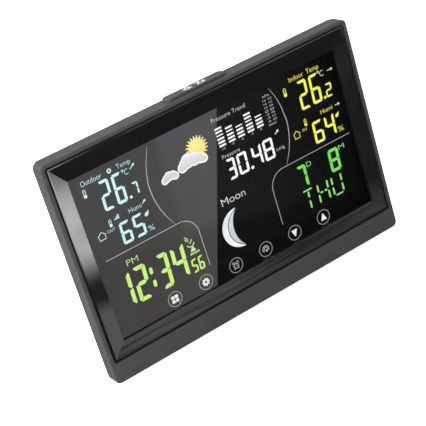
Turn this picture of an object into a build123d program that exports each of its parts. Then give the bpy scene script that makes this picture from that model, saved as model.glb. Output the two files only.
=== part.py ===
from build123d import *
from collections import namedtuple
import math
import os

# Home weather station: landscape desktop display with a fold-out leg.
# Frame: origin at the middle of the footprint on the ground, +X to the right as seen from the
# front, +Y to the back, +Z up.  Every length is in millimetres.

os.makedirs("parts", exist_ok=True)

CUT = Mode.SUBTRACT
SIDES = (-1, 1)           # left and right

# A rectangle centred on X = 0: half-width, then its low and high end (in Z, or in Y on top)
Rect = namedtuple("Rect", "half_w low high")


def mirrored(x, *heights):
    """Places (x, z) on both sides at each height."""
    return [(side * x, z) for z in heights for side in SIDES]


# ---------------------------------------------------------------- casing
case_w = 202.0            # overall width
case_h = 133.4            # casing height
case_t = 25.0             # overall depth, front face to back of the hump
foot_proud = 0.5          # rubber feet stand this far below the casing
corner_r = 3.0            # casing corner radius, seen from the front
inner_corner_r = corner_r - 1.2
edge_r = 0.7              # small round on the front edge
wall = 2.2                # side wall of the casing
part_bevel = 0.25         # bevel of both casings at the parting plane

y_front = -case_t / 2     # front face
y_front_in = -9.5         # inner plane of the front wall
y_part = -3.5             # parting plane between the two casings
y_rear_wall = 0.0         # outer plane of the thin rear wall around the hump
y_back = case_t / 2       # back of the hump

z_bot = foot_proud        # underside of the casing
z_top = z_bot + case_h    # top face of the casing
z_floor = z_bot + wall    # inner floor of the casing
zc = 66.95                # height of the display's centre
casing = Rect(case_w / 2, z_bot, z_top)

# rear cover
rear_corner_r = 5.0       # corner radius at its back
rear_taper = 0.9          # each side closes in by this much to the back
rear_taper_top = 0.3      # and its top by this much
hump_wall = 2.0
hump_corner_r = 6.0
hump_base = Rect(88.0, z_bot, 119.5)
hump_back = Rect(83.0, z_bot, 114.5)
y_hump_in = y_back - hump_wall

# ---------------------------------------------------------------- window and trim
groove = Rect(98.4, zc - 54.2, zc + 64.85)
trim = Rect(97.7, zc - 53.55, zc + 64.15)
opening = Rect(89.5, zc - 45.2, zc + 53.7)
lens = Rect(90.8, zc - 46.5, zc + 55.0)
window = Rect(88.6, zc - 44.3, zc + 52.8)
lip_w = 0.9
y_pocket = -11.0          # floor of the trim pocket
y_trim_top = -12.4        # crown of the trim's lip
y_trim_in = -11.6         # trim at the window's edge
y_lens = (-9.5, -8.5)     # window, glued to the inner face of the front wall
y_mask = (-8.5, -8.4)     # black print on the back of the window, in front of the keys

# ---------------------------------------------------------------- display stack
lcd_front = Rect(91.0, zc - 33.4, zc + 56.2)
lcd_rear = Rect(91.0, zc - 31.4, zc + 56.2)      # shorter, so the contact ledge is bare
guide = Rect(88.5, lcd_rear.low, lcd_rear.high)
tray_inner = Rect(91.2, zc - 33.5, zc + 56.4)
tray_outer = Rect(92.4, zc - 34.6, zc + 57.6)

stack_y = {}              # front and back plane of each layer, from the window backwards
layer_y = y_lens[1]
for layer, thickness in (
    ("lcd_gasket", 0.3),
    ("front_polariser", 0.15),
    ("lcd_front_glass", 0.7),
    ("lcd_rear_glass", 0.7),
    ("rear_polariser", 0.15),
    ("colour_film", 0.15),
    ("diffuser_sheet", 0.4),
    ("light_guide", 2.0),
    ("reflector_sheet", 0.2),
    ("tray_back", 1.0),
):
    stack_y[layer] = (layer_y, layer_y + thickness)
    layer_y += thickness
tray_back_y = stack_y["tray_back"]
ear_y = (tray_back_y[0] - 1.0, tray_back_y[0])   # tray ears

# ---------------------------------------------------------------- keys, snooze bar, board
key_x0, key_pitch, key_count = -50.8, 21.1, 6
key_z = 27.65
key_r = 4.1
y_electrode = (-8.4, -8.2)
y_touch = (-8.2, -7.2)
touch_area = Rect(66.0, 22.6, 32.0)

bar = Rect(19.5, -10.4, -2.6)    # seen from above
bar_rise = 1.6
bar_corner = 2.4                 # corner radius, seen from above
bar_gap = 0.15                   # slot clearance on each side

pcb = Rect(78.0, 8.0, 58.0)
pcb_y = (-1.6, 0.0)
y_board = pcb_y[1]               # rear face of the board, which carries the components
buzzer_xz = (-50, 30)
jack_y, jack_z = 4.2, 20.0

# ---------------------------------------------------------------- battery bay and leg
bay = Rect(25.4, 72.0, 105.6)
bay_wall = 1.2
y_bay_floor = 0.3
cell_r, cell_l = 5.25, 44.5
cell_tip_x = 24.8                # tip of the positive nub
cell_z = (77.6, 88.8, 100.0)
cell_sign = (1, -1, 1)           # +1: positive end to the right
cell_y = 5.8
door_hw = 28.0
door_gap = 0.15
door_axis_z, door_axis_y = 70.2, 11.4
door_top = 108.4
door_t = 1.2
bead_r = 1.1

leg_hw = 30.0
leg_axis_z, leg_axis_y = 60.0, 10.7
leg_r = 1.5                      # barrel radius, and half the leg's thickness
leg_bottom = 1.6
leg_side_gap = 0.25
leg_seat_gap = 0.15
trunnion_r, trunnion_l = 1.1, 3.0
hub_clear = 0.07
leg_y_in, leg_y_out = leg_axis_y - leg_r, leg_axis_y + leg_r
pad_seat = 0.6                   # depth of the pad's seat at the leg's tip

# ---------------------------------------------------------------- fasteners and feet
case_screw_xz = mirrored(95.2, 6.0, 128.7)
tray_screw_xz = mirrored(94.9, 50.0, 100.0)
pcb_low_xz = mirrored(72.0, 13.0)
pcb_up_xz = mirrored(72.0, 53.0)
y_case_seat = -1.6               # underside of the casing screws' heads

foot_x, foot_hw = 70, 8.8
foot_top = z_bot + 0.5
front_foot_y = (-10.6, -6.6)
rear_foot_y = (5.6, 9.6)
foot_gap = 0.2                   # clearance round a foot in its pocket


# ---------------------------------------------------------------- small helpers
def plane_y(y):
    """Sketch plane facing the front at depth y: local x is X, local y is Z."""
    return Plane(origin=(0, y, 0), x_dir=(1, 0, 0), z_dir=(0, -1, 0))


def outline(rect, radius=0, inset=0, mode=Mode.ADD):
    """Rectangle in the open sketch, shrunk by inset on every side."""
    width = 2 * (rect.half_w - inset)
    height = rect.high - rect.low - 2 * inset
    with Locations((0, (rect.low + rect.high) / 2)):
        if radius:
            RectangleRounded(width, height, radius, mode=mode)
        else:
            Rectangle(width, height, mode=mode)


def slab(x0, x1, y0, y1, z0, z1, mode=Mode.ADD):
    """Box between two corners; the two X values may come in either order."""
    with Locations(((x0 + x1) / 2, (y0 + y1) / 2, (z0 + z1) / 2)):
        Box(abs(x1 - x0), y1 - y0, z1 - z0, mode=mode)


def plate(rect, y_range, mode=Mode.ADD, inset=0):
    """Box over a rectangle seen from the front, between two depths."""
    half_w = rect.half_w - inset
    slab(-half_w, half_w, *y_range, rect.low + inset, rect.high - inset, mode)


def rod_y(x, z, y0, y1, r, mode=Mode.ADD):
    """Cylinder along Y."""
    with Locations(Location((x, (y0 + y1) / 2, z), (90, 0, 0))):
        Cylinder(r, y1 - y0, mode=mode)


def rods_y(places, y0, y1, r, mode=Mode.ADD):
    """Cylinders along Y at several (x, z) places."""
    for x, z in places:
        rod_y(x, z, y0, y1, r, mode)


def rod_x(y, z, x0, x1, r, mode=Mode.ADD):
    """Cylinder along X; the two X values may come in either order."""
    with Locations(Location(((x0 + x1) / 2, y, z), (0, 90, 0))):
        Cylinder(r, abs(x1 - x0), mode=mode)


def centred_rod_x(y, z, half_l, r, mode=Mode.ADD):
    """Cylinder along X, centred on X = 0."""
    rod_x(y, z, -half_l, half_l, r, mode)


def rod_z(x, y, z0, z1, r, mode=Mode.ADD):
    """Cylinder along Z."""
    with Locations((x, y, (z0 + z1) / 2)):
        Cylinder(r, z1 - z0, mode=mode)


def foot(side, y_range, z0, z1, gap=0, mode=Mode.ADD):
    """Block of a foot, or of its pocket when a gap is given."""
    x = side * foot_x
    reach = foot_hw + gap
    slab(x - reach, x + reach, y_range[0] - gap, y_range[1] + gap, z0, z1, mode)


def screws(places, y_head, head_r, head_h, shank_r, shank_l, drive):
    """Cross-head screws driven from the back: heads' underside at y_head, shanks to the front."""
    slot_half_w = 0.22
    for x, z in places:
        y_end = y_head + head_h
        rod_y(x, z, y_head, y_end, head_r)
        rod_y(x, z, y_head - shank_l, y_head + 0.2, shank_r)
        for half_x, half_z in ((drive, slot_half_w), (slot_half_w, drive)):
            slab(x - half_x, x + half_x, y_end - 0.5, y_end + 1, z - half_z, z + half_z, CUT)


def save(builder, name):
    builder.part.label = name
    export_step(builder.part, "parts/" + name + ".step")


def save_plate(name, rect, y_range):
    """Build and save a piece that is one plain plate."""
    with BuildPart() as piece:
        plate(rect, y_range)
    save(piece, name)


# ---------------------------------------------------------------- front cover
with BuildPart() as front_cover:
    # outer block with rounded corners
    with BuildSketch(plane_y(y_part)):
        outline(casing, corner_r)
    extrude(amount=y_part - y_front)
    fillet(front_cover.faces().sort_by(Axis.Y)[0].edges(), edge_r)
    chamfer(front_cover.faces().sort_by(Axis.Y)[-1].edges(), part_bevel)
    # hollow behind the front wall
    with BuildSketch(plane_y(y_part)):
        outline(casing, inner_corner_r, inset=wall)
    extrude(amount=y_part - y_front_in, mode=CUT)
    # pocket for the trim, open to the front
    with BuildSketch(plane_y(y_pocket)):
        outline(groove, 1.4)
    extrude(amount=y_pocket - y_front + 1, mode=CUT)
    # through opening for the window
    with BuildSketch(plane_y(y_front_in + 1)):
        outline(opening, 1.2)
    extrude(amount=y_front_in + 1 - y_front, mode=CUT)
    # screw bosses, rooted in the front wall, then their blind holes
    y_root = y_front_in - 0.5
    rods_y(case_screw_xz, y_root, -3.2, 2.4)
    rods_y(tray_screw_xz, y_root, ear_y[0], 2.3)
    rods_y(pcb_low_xz, y_root, pcb_y[0], 2.5)
    rods_y(case_screw_xz, -8.8, -3.0, 1.0, CUT)
    rods_y(tray_screw_xz, -9.0, -4.5, 0.8, CUT)
    rods_y(pcb_low_xz, -6.5, pcb_y[0] + 0.5, 1.0, CUT)
    # the top wall runs on behind the snooze bar, and the bar's slot is cut through it
    plate(Rect(bar.half_w + 2.2, z_top - wall, z_top), (y_part - 0.5, -1.95))
    with BuildSketch(Plane.XY.offset(z_top - wall - 0.45)):
        outline(bar, bar_corner + bar_gap, inset=-bar_gap)
    extrude(amount=wall + 1.5, mode=CUT)
    # shallow pockets for the front feet
    for side in SIDES:
        foot(side, front_foot_y, z_bot - 1, foot_top, foot_gap, CUT)
save(front_cover, "front_cover")

# ---------------------------------------------------------------- trim round the window
with BuildPart() as bezel_trim:
    with BuildSketch(plane_y(y_pocket)):
        outline(trim, 1.0)
        outline(window, 1.0, mode=CUT)
    extrude(amount=y_pocket - y_trim_top)
    fillet(bezel_trim.faces().sort_by(Axis.Y)[0].outer_wire().edges(), 0.45)
    # sloped inner face, falling to the window
    with BuildSketch(plane_y(y_trim_in)):
        outline(window)
    with BuildSketch(plane_y(y_trim_top - 0.02)):
        outline(trim, inset=lip_w)
    loft(ruled=True, mode=CUT)
    # skirt that lines the opening down to the window
    y_skirt = y_lens[0] - 0.05
    with BuildSketch(plane_y(y_skirt)):
        outline(opening, 1.15, inset=0.05)
        outline(window, 1.0, mode=CUT)
    extrude(amount=y_skirt - y_pocket)
save(bezel_trim, "bezel_trim")

# ---------------------------------------------------------------- window
with BuildPart() as window_lens:
    with BuildSketch(plane_y(y_lens[1])):
        outline(lens, 1.0)
    extrude(amount=y_lens[1] - y_lens[0])
save(window_lens, "window_lens")

# the print covers the strip below the display
save_plate("window_mask", Rect(lens.half_w - 0.2, lens.low + 0.2, lcd_front.low - 0.1), y_mask)

# ---------------------------------------------------------------- display stack
with BuildPart() as lcd_gasket:
    gasket_y = stack_y["lcd_gasket"]
    with BuildSketch(plane_y(gasket_y[1])):
        outline(lcd_front)
        outline(Rect(opening.half_w + 0.2, zc - 32.4, opening.high + 0.2), mode=CUT)
    extrude(amount=gasket_y[1] - gasket_y[0])
save(lcd_gasket, "lcd_gasket")

with BuildPart() as lcd_polarisers:
    for glass, layer in ((lcd_front, "front_polariser"), (lcd_rear, "rear_polariser")):
        plate(Rect(glass.half_w - 1, glass.low + 0.3, glass.high - 1), stack_y[layer])
save(lcd_polarisers, "lcd_polarisers")

for name, rect in (
    ("lcd_front_glass", lcd_front),
    ("lcd_rear_glass", lcd_rear),
    ("colour_film", guide),
    ("diffuser_sheet", guide),
    ("light_guide", guide),
    ("reflector_sheet", guide),
):
    save_plate(name, rect, stack_y[name])

# LED strips stand at both ends of the light guide
led_board_x = (90.1, 91.1)
led_x_in = 88.7
led_count, led_pitch, led_half_l = 8, 10.2, 1.6

with BuildPart() as backlight_led_boards:
    for side in SIDES:
        slab(side * led_board_x[0], side * led_board_x[1], -6.4, -3.85, zc - 27.0, zc + 54.0)
save(backlight_led_boards, "backlight_led_boards")

with BuildPart() as backlight_leds:
    for side in SIDES:
        for k in range(led_count):
            z = zc - 22.0 + k * led_pitch
            slab(side * led_x_in, side * led_board_x[0], -5.8, -4.4, z - led_half_l, z + led_half_l)
save(backlight_leds, "backlight_leds")

with BuildPart() as lcd_tray:
    plate(tray_outer, (stack_y["front_polariser"][0], tray_back_y[1]))
    plate(tray_inner, (stack_y["lcd_gasket"][1] - 1, tray_back_y[0]), CUT)
    # ears for the tray screws
    for x, z in tray_screw_xz:
        side = 1 if x > 0 else -1
        slab(side * (tray_outer.half_w - 0.5), side * 96.6, *ear_y, z - 3, z + 3)
    rods_y(tray_screw_xz, -6, -2, 1.1, CUT)
    # bosses for the upper board screws
    rods_y(pcb_up_xz, tray_back_y[1] - 0.5, pcb_y[0], 2.5)
    rods_y(pcb_up_xz, tray_back_y[0] + 0.05, pcb_y[0] + 1, 1.0, CUT)
    # slot for the display ribbon
    plate(Rect(31.0, zc - 32.7, zc - 31.6), (tray_back_y[0] - 0.5, tray_back_y[1] + 0.5), CUT)
    # wide shallow pocket in the back, leaving a 0.4 floor
    plate(Rect(70, 66.0, 116.0), (tray_back_y[0] + 0.4, tray_back_y[1] + 0.5), CUT)
save(lcd_tray, "lcd_tray")

flex_t = 0.15             # thickness of both ribbons

with BuildPart() as lcd_flex:
    # bonded foot on the contact ledge, run to the back, foot on the main board
    y_ledge = stack_y["lcd_front_glass"][1]
    run_top = zc - 32.05
    run_low = run_top - flex_t
    plate(Rect(30, lcd_front.low + 0.3, run_top), (y_ledge, y_ledge + flex_t))
    plate(Rect(30, run_low, run_top), (y_ledge, pcb_y[0]))
    plate(Rect(30, run_low, zc - 24.0), (pcb_y[0] - flex_t, pcb_y[0]))
save(lcd_flex, "lcd_flex")

# ---------------------------------------------------------------- touch keys
save_plate("touch_board", touch_area, y_touch)

with BuildPart() as touch_electrodes:
    for k in range(key_count):
        rod_y(key_x0 + k * key_pitch, key_z, *y_electrode, key_r)
save(touch_electrodes, "touch_electrodes")

with BuildPart() as touch_flex:
    # run to the back, foot on the touch board, foot on the main board
    run_low = 25.0
    run_top = run_low + flex_t
    plate(Rect(8, run_low, run_top), (y_touch[1], pcb_y[0]))
    plate(Rect(8, run_low, 29.0), (y_touch[1], y_touch[1] + flex_t))
    plate(Rect(8, 20.0, run_top), (pcb_y[0] - flex_t, pcb_y[0]))
save(touch_flex, "touch_flex")

# ---------------------------------------------------------------- snooze bar and its switch
stem_l = 3.5              # the bar reaches this far below the casing's top
with BuildPart() as snooze_bar:
    # visible cap with rounded corners and edges, running down as a stem
    with BuildSketch(Plane.XY.offset(z_top - stem_l)):
        outline(bar, bar_corner)
    extrude(amount=bar_rise + stem_l)
    fillet(snooze_bar.faces().sort_by(Axis.Z)[-1].edges(), 0.45)
    # step in the stem's front
    y_step = -9.2
    plate(Rect(bar.half_w + 1, z_top - 4, z_top - 1.55), (bar.low - 1, y_step), CUT)
    # retaining flange under the top wall
    plate(Rect(bar.half_w + 1.6, z_top - stem_l, z_top - wall - 0.05), (y_step, bar.high - 0.2))
save(snooze_bar, "snooze_bar")

snooze_board_z = (tray_outer.high, tray_outer.high + 1.0)
snooze_board_y = (-8.6, -3.0)
switch_y = -6.0
switch_top = z_top - 4.4

with BuildPart() as snooze_board:
    plate(Rect(13, *snooze_board_z), snooze_board_y)
    for side in SIDES:
        rod_z(side * 10.5, switch_y, snooze_board_z[0] - 1, snooze_board_z[1] + 1, 0.6, CUT)
save(snooze_board, "snooze_board")

with BuildPart() as snooze_switch_body:
    plate(Rect(3, snooze_board_z[1], switch_top), snooze_board_y)
    rod_z(0, switch_y, switch_top - 1.2, switch_top + 1, 1.75, CUT)
save(snooze_switch_body, "snooze_switch_body")

with BuildPart() as snooze_switch_plunger:
    rod_z(0, switch_y, switch_top - 0.85, switch_top + 0.33, 1.69)
    fillet(snooze_switch_plunger.faces().sort_by(Axis.Z)[-1].edges(), 0.2)
save(snooze_switch_plunger, "snooze_switch_plunger")

# ---------------------------------------------------------------- main board and what it carries
with BuildPart() as main_pcb:
    plate(pcb, pcb_y)
    rods_y(pcb_low_xz + pcb_up_xz, -3, 1, 1.2, CUT)
save(main_pcb, "main_pcb")

with BuildPart() as mcu_chips:
    slab(-7, 7, y_board, 1.5, 34.0, 48.0)
    chamfer(mcu_chips.faces().sort_by(Axis.Y)[-1].edges(), 0.3)
    slab(14, 21, y_board, 1.4, 38.0, 43.0)
save(mcu_chips, "mcu_chips")

with BuildPart() as rf_module:
    # module board, block on its back, and a row of six pins
    slab(40, 64, 1.6, 2.6, 36.0, 50.0)
    slab(44, 53, 2.6, 4.2, 38.5, 47.5)
    for k in range(6):
        rod_y(42.5 + k * 3.8, 37.2, y_board, 2.0, 0.35)
save(rf_module, "rf_module")

with BuildPart() as rf_antenna:
    # 433 MHz coil, standing upright above the module
    coil_x, coil_y, coil_z, coil_r = 60.0, 4.7, 51.5, 2.0
    with BuildLine():
        Helix(pitch=1.8, height=14.4, radius=coil_r, center=(coil_x, coil_y, coil_z),
              direction=(0, 0, 1))
    coil_start = (coil_x + coil_r, coil_y, coil_z)
    with BuildSketch(Plane(origin=coil_start, x_dir=(1, 0, 0), z_dir=(0, 1, 0))):
        Circle(0.35)
    sweep()
save(rf_antenna, "rf_antenna")

with BuildPart() as pressure_sensor:
    slab(-24, -20.2, y_board, 1.1, 14.0, 17.6)
    rod_y(-22.1, 15.8, 0.6, 2.0, 0.4, CUT)
save(pressure_sensor, "pressure_sensor")

with BuildPart() as climate_sensor:
    # case with six level slots in its back
    slab(-76, -64, y_board, 5.0, 24.0, 40.0)
    fillet(climate_sensor.edges().filter_by(Axis.Y), 0.8)
    for k in range(6):
        z = 26.8 + k * 2.1
        slab(-74.5, -65.5, 3.4, 6.0, z, z + 0.9, CUT)
save(climate_sensor, "climate_sensor")

with BuildPart() as buzzer:
    rod_y(*buzzer_xz, y_board, 5.5, 6.0)
    rod_y(*buzzer_xz, 4.0, 6.5, 1.2, CUT)
    fillet(buzzer.faces().sort_by(Axis.Y)[-1].outer_wire().edges(), 0.4)
save(buzzer, "buzzer")

with BuildPart() as capacitors:
    rods_y(((46, 16), (55, 16)), y_board, 6.0, 2.9)
save(capacitors, "capacitors")

with BuildPart() as crystals:
    slab(9.5, 12.5, y_board, 1.4, 46.0, 53.0)
    slab(26, 31, y_board, 1.2, 36.0, 39.2)
save(crystals, "crystals")

with BuildPart() as board_connectors:
    # sockets, open upwards
    for x in (-44, 34, 25):
        slab(x - 4, x + 4, y_board, 4.0, 51.0, 56.5)
        slab(x - 3.2, x + 3.2, 0.8, 3.2, 53.0, 57.0, CUT)
save(board_connectors, "board_connectors")

jack_bore_x = 74.0        # inner end of the jack's bore
with BuildPart() as dc_jack_body:
    slab(70.0, 80.5, y_board, 7.4, 16.0, 24.0)
    rod_x(jack_y, jack_z, 80.0, 85.2, 2.9)
    rod_x(jack_y, jack_z, jack_bore_x, 86.0, 1.8, CUT)
save(dc_jack_body, "dc_jack_body")

with BuildPart() as dc_jack_pin:
    rod_x(jack_y, jack_z, jack_bore_x, 83.6, 0.65)
save(dc_jack_pin, "dc_jack_pin")

ferrite_y, ferrite_z, ferrite_r = 4.0, 96.0, 4.0
with BuildPart() as ferrite_rod:
    rod_x(ferrite_y, ferrite_z, 32.5, 80.5, ferrite_r)
save(ferrite_rod, "ferrite_rod")

with BuildPart() as antenna_coil:
    rod_x(ferrite_y, ferrite_z, 44.0, 66.0, 5.2)
    rod_x(ferrite_y, ferrite_z, 43.0, 67.0, ferrite_r + 0.02, CUT)
save(antenna_coil, "antenna_coil")

# ---------------------------------------------------------------- rear cover
y_past_back = y_back + 1                     # cuts open to the back run out to here
through_back = (y_hump_in - 1, y_past_back)  # depth range that pierces the hump's back wall
y_block = y_hump_in + 0.5                    # inner blocks run this far into the back wall
label_seat = (38.0, 78.0, 56.0, 76.0)        # x0, x1, z0, z1
label_seat_y = y_back - 0.25
hook_x, hook_z, hook_top = 70, 92.0, 99.0
vent_x0, vent_pitch, vent_count = 47.0, 3.6, 9
sound_hole_r, sound_ring_r = 0.8, 3.2

with BuildPart() as rear_cover:
    # skirt: tapers slightly, and its corners grow rounder to the back
    with BuildSketch(plane_y(y_part + part_bevel)):
        outline(casing, corner_r)
    with BuildSketch(plane_y(y_rear_wall)):
        outline(Rect(casing.half_w - rear_taper, z_bot, z_top - rear_taper_top), rear_corner_r)
    loft(ruled=True)
    fillet(rear_cover.faces().sort_by(Axis.Y)[-1].edges(), 1.4)
    # bevelled strip at the parting plane
    with BuildSketch(plane_y(y_part)):
        outline(casing, corner_r - part_bevel, inset=part_bevel)
    with BuildSketch(plane_y(y_part + part_bevel)):
        outline(casing, corner_r)
    loft(ruled=True)
    # tapered hump that carries the board and the cells; its lower corners are square
    with BuildSketch(plane_y(-1.0)):
        outline(hump_base, hump_corner_r)
        outline(Rect(hump_base.half_w, z_bot, z_bot + 8.0))
    with BuildSketch(plane_y(y_back)):
        outline(hump_back, hump_corner_r)
        outline(Rect(hump_back.half_w, z_bot, z_bot + 8.0))
    loft(ruled=True)
    fillet(rear_cover.faces().sort_by(Axis.Y)[-1].edges(), 1.0)
    # hollow: wide shallow part, then the inside of the hump
    y_wide = y_rear_wall - hump_wall
    with BuildSketch(plane_y(y_wide)):
        outline(casing, inner_corner_r, inset=wall)
    extrude(amount=6, mode=CUT)
    with BuildSketch(plane_y(y_wide - 0.5)):
        outline(Rect(hump_base.half_w - hump_wall, z_floor, hump_base.high - hump_wall))
    with BuildSketch(plane_y(y_hump_in)):
        outline(Rect(hump_back.half_w - hump_wall, z_floor, hump_back.high - hump_wall))
    loft(ruled=True, mode=CUT)
    # tongue that centres the two casings, notched round the front cover's bosses
    with BuildSketch(plane_y(y_part + 0.5)):
        outline(casing, corner_r - 1.3, inset=wall + 0.1)
        outline(casing, 1.0, inset=wall + 1.0, mode=CUT)
    extrude(amount=0.5 + 1.2)
    rods_y(case_screw_xz, -5.2, -3.1, 2.6, CUT)
    # the tongue and the skirt's top stop short of the snooze bar's strip
    plate(Rect(bar.half_w + 4, z_top - 5.0, z_top - 1.5), (-6, y_part), CUT)
    plate(Rect(bar.half_w + 2.3, z_top - wall - 0.1, z_top + 1), (-3.6, -1.85), CUT)
    plate(Rect(bar.half_w + 4, z_top - 5.0, z_top - wall - 0.05), (-3.6, -1.9), CUT)
    # solid blocks for the battery bay, the door's seat, and the leg's recess and trunnions
    plate(bay, (y_bay_floor - 1.0, y_block), inset=-bay_wall)
    plate(Rect(door_hw + 1.4, 67.4, door_top + 1.4), (9.2, y_block))
    plate(Rect(leg_hw + 6.0, z_floor - 0.5, leg_axis_z + 4.0), (6.9, y_block))
    plate(bay, (y_bay_floor, y_past_back), CUT)
    # door seat: shallow rebate and the round groove for its bead
    seat_hw = door_hw + door_gap
    y_rebate = y_back - door_t - 0.1
    plate(Rect(seat_hw, door_axis_z, door_top + door_gap), (y_rebate, y_past_back), CUT)
    centred_rod_x(door_axis_y, door_axis_z, seat_hw, bead_r + 0.1, CUT)
    # relief of the rim below the bead, where the open door swings past
    plate(Rect(seat_hw, door_axis_z - 1.2, door_axis_z), (door_axis_y + 0.6, y_past_back), CUT)
    # finger notch across the door's top edge
    with BuildSketch(plane_y(y_past_back)):
        with Locations((0, door_top - 1.0)):
            SlotOverall(15.0, 7.0)
    extrude(amount=2.4, mode=CUT)
    # leg recess, open at the base, with round seats for the barrel and the trunnions
    recess_hw = leg_hw + leg_side_gap
    seat_r = leg_r + leg_seat_gap
    plate(Rect(recess_hw, z_bot - 1, leg_axis_z), (leg_axis_y - seat_r, y_past_back), CUT)
    centred_rod_x(leg_axis_y, leg_axis_z, recess_hw, seat_r, CUT)
    plate(Rect(recess_hw, leg_axis_z - 0.5, leg_axis_z + seat_r), (leg_axis_y, y_past_back), CUT)
    centred_rod_x(leg_axis_y, leg_axis_z, recess_hw + trunnion_l, trunnion_r + hub_clear, CUT)
    # finger notch under the leg's tip
    with BuildSketch(plane_y(y_past_back)):
        with Locations((0, z_bot + 2.0)):
            SlotOverall(24.0, 12.0)
    extrude(amount=6.4, mode=CUT)
    # wall hooks: keyhole openings near the top of the hump
    for side in SIDES:
        x = side * hook_x
        rod_y(x, hook_z, *through_back, 4.25, CUT)
        slab(x - 2.0, x + 2.0, *through_back, hook_z, hook_top, CUT)
        rod_y(x, hook_top, *through_back, 2.0, CUT)
    # vents: upright slots on both sides of the leg
    for side in SIDES:
        for k in range(vent_count):
            x = side * (vent_x0 + k * vent_pitch)
            slab(x - 0.7, x + 0.7, *through_back, 8.0, 20.0, CUT)
    # sound holes over the buzzer: one in the middle, six round it
    rod_y(*buzzer_xz, *through_back, sound_hole_r, CUT)
    for k in range(6):
        angle = math.radians(60 * k)
        x = buzzer_xz[0] + sound_ring_r * math.cos(angle)
        z = buzzer_xz[1] + sound_ring_r * math.sin(angle)
        rod_y(x, z, *through_back, sound_hole_r, CUT)
    # inlet hole in the right side of the hump
    rod_x(jack_y, jack_z, 80.5, 90.0, 3.1, CUT)
    # screw seats at the corners: boss, head recess, shank hole
    rods_y(case_screw_xz, -3.15, y_rear_wall - 1.0, 3.0)
    rods_y(case_screw_xz, y_case_seat, y_rear_wall + 1, 2.4, CUT)
    rods_y(case_screw_xz, -4, 1, 1.2, CUT)
    # shallow seat for the label
    slab(*label_seat[:2], label_seat_y, y_past_back, *label_seat[2:], CUT)
    # rear feet pockets
    for side in SIDES:
        foot(side, rear_foot_y, z_bot - 1, foot_top, foot_gap, CUT)
save(rear_cover, "rear_cover")

with BuildPart() as rating_label:
    x0, x1, z0, z1 = label_seat
    label_gap = 0.3
    slab(x0 + label_gap, x1 - label_gap, label_seat_y, y_back - 0.1,
         z0 + label_gap, z1 - label_gap)
save(rating_label, "rating_label")

# ---------------------------------------------------------------- cells, springs, contacts, wires
with BuildPart() as battery_cells:
    for z, sign in zip(cell_z, cell_sign):
        x_shoulder = sign * (cell_tip_x - 1.0)
        rod_x(cell_y, z, x_shoulder, sign * (cell_tip_x - cell_l), cell_r)
        rod_x(cell_y, z, x_shoulder - sign * 0.3, sign * cell_tip_x, 1.9)
save(battery_cells, "battery_cells")

with BuildPart() as battery_contacts:
    for z in cell_z:
        for side in SIDES:
            slab(side * 25.05, side * bay.half_w, 1.4, 10.2, z - 4.4, z + 4.4)
save(battery_contacts, "battery_contacts")

with BuildPart() as battery_springs:
    # one at each negative end; every helix is drawn from its right end to the left
    spring_l = 4.4
    for z, sign in zip(cell_z, cell_sign):
        x_outer = -sign * 24.6
        x_right = max(x_outer, x_outer + sign * spring_l)
        with BuildLine():
            Helix(pitch=1.1, height=spring_l, radius=2.6, center=(x_right, cell_y, z),
                  direction=(-1, 0, 0))
        line = battery_springs.pending_edges[-1]
        with BuildSketch(Plane(origin=line @ 0, z_dir=line % 0)):
            Circle(0.35)
        sweep()
save(battery_springs, "battery_springs")

with BuildPart() as battery_wires:
    # down beside the bay, then forward and outward to the board
    for side in SIDES:
        x = side * 28.6
        with BuildLine():
            FilletPolyline((x, 5.0, 78.0), (x, 5.0, 64.0), (x, 1.6, 59.5),
                           (x + side * 3.0, 1.6, 57.6), radius=1.4)
        line = battery_wires.pending_edges[0]
        with BuildSketch(Plane(origin=line @ 0, z_dir=line % 0)):
            Circle(0.55)
        sweep()
save(battery_wires, "battery_wires")

with BuildPart() as snooze_wires:
    # back over the snooze board, then down behind the tray
    wire_z = snooze_board_z[1] + 0.4
    wire_y = -2.38
    for x in (6.0, 8.0):
        with BuildLine():
            FilletPolyline((x, switch_y, wire_z), (x, wire_y, wire_z), (x, wire_y, 121.5),
                           radius=0.9)
        line = snooze_wires.pending_edges[0]
        with BuildSketch(Plane(origin=line @ 0, z_dir=line % 0)):
            Circle(0.34)
        sweep()
save(snooze_wires, "snooze_wires")

# ---------------------------------------------------------------- battery door
with BuildPart() as battery_door:
    plate(Rect(door_hw, door_axis_z + 0.5, door_top), (y_back - door_t, y_back))
    fillet(battery_door.faces().sort_by(Axis.Y)[-1].edges().sort_by(Axis.Z)[-1], 0.4)
    # bead along the lower edge, and the web that joins it to the panel
    centred_rod_x(door_axis_y, door_axis_z, door_hw, bead_r)
    plate(Rect(door_hw, door_axis_z, door_axis_z + 1.0), (door_axis_y - 0.1, door_axis_y + bead_r))
    # springy catch: two slits free a tab, with grip grooves on it
    for side in SIDES:
        x = side * 6.0
        slab(x - 0.35, x + 0.35, y_back - 2, y_past_back, door_top - 9.0, door_top + 1, CUT)
    for k in range(3):
        z = door_top - k * 1.6
        plate(Rect(4.5, z - 3.4, z - 2.7), (y_back - 0.35, y_past_back), CUT)
save(battery_door, "battery_door")

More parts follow.
